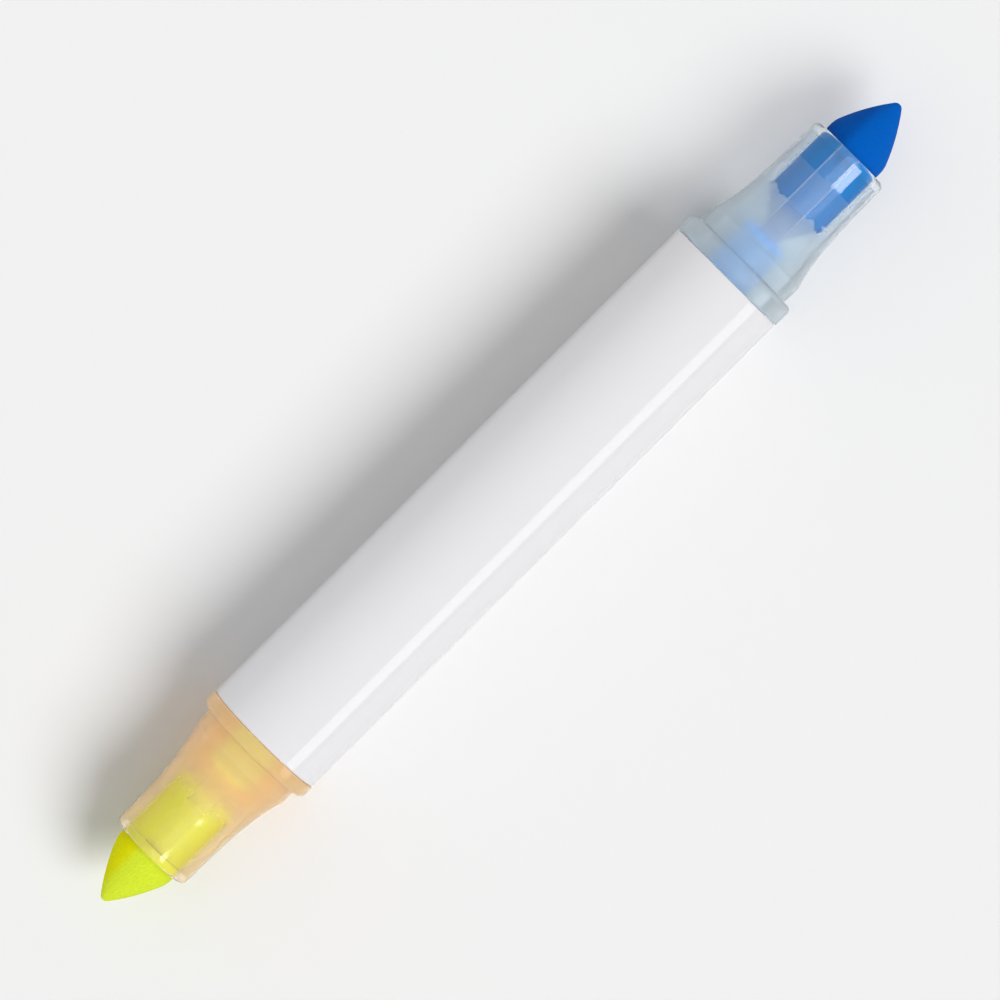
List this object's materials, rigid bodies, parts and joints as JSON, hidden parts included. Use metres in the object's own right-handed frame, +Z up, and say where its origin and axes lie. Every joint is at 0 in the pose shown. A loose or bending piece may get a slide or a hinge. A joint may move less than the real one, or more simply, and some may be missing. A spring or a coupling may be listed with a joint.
{
  "type": "fabric marking pen",
  "caption": "Double-ended felt marking pen, uncapped, with a blue bullet nib at one end and a yellow one at the other, for marking fabric.",
  "frame": {"origin": "the point on the resting surface under the middle of the pen's box", "axes": "+X along the pen towards the blue nib, +Y across it, +Z up from the surface it lies on"},
  "size_m": [0.132, 0.0162, 0.0161],
  "materials": {
    "barrel": "glossy moulded white polypropylene",
    "blue_nib_holder": "frosted translucent polypropylene, stained blue where ink has wetted it",
    "yellow_nib_holder": "frosted translucent polypropylene with a warm tint from the yellow ink",
    "blue_nib": "porous bonded polyester fibre soaked with blue ink, matt",
    "yellow_nib": "porous bonded polyester fibre soaked with fluorescent yellow ink, matt",
    "blue_reservoir": "soft polyester fibre rod soaked with blue ink",
    "yellow_reservoir": "soft polyester fibre rod soaked with yellow ink",
    "reservoir_film": "clear polypropylene film"
  },
  "bodies": {
    "barrel": {"barrel": "barrel", "blue_reservoir": "blue_reservoir", "blue_reservoir_film": "reservoir_film", "yellow_reservoir": "yellow_reservoir", "yellow_reservoir_film": "reservoir_film"},
    "blue_nib_holder": {"blue_nib_holder": "blue_nib_holder"},
    "blue_nib": {"blue_nib": "blue_nib"},
    "yellow_nib_holder": {"yellow_nib_holder": "yellow_nib_holder"},
    "yellow_nib": {"yellow_nib": "yellow_nib"}
  },
  "joints": [
    {"name": "blue_holder_pull", "type": "slide", "parent": "barrel", "child": "blue_nib_holder", "axis": [1, 0, 0], "range_m": [0, 0.012]},
    {"name": "blue_nib_pull", "type": "slide", "parent": "blue_nib_holder", "child": "blue_nib", "axis": [1, 0, 0], "range_m": [0, 0.03]},
    {"name": "yellow_holder_pull", "type": "slide", "parent": "barrel", "child": "yellow_nib_holder", "axis": [-1, 0, 0], "range_m": [0, 0.012]},
    {"name": "yellow_nib_pull", "type": "slide", "parent": "yellow_nib_holder", "child": "yellow_nib", "axis": [-1, 0, 0], "range_m": [0, 0.03]}
  ]
}
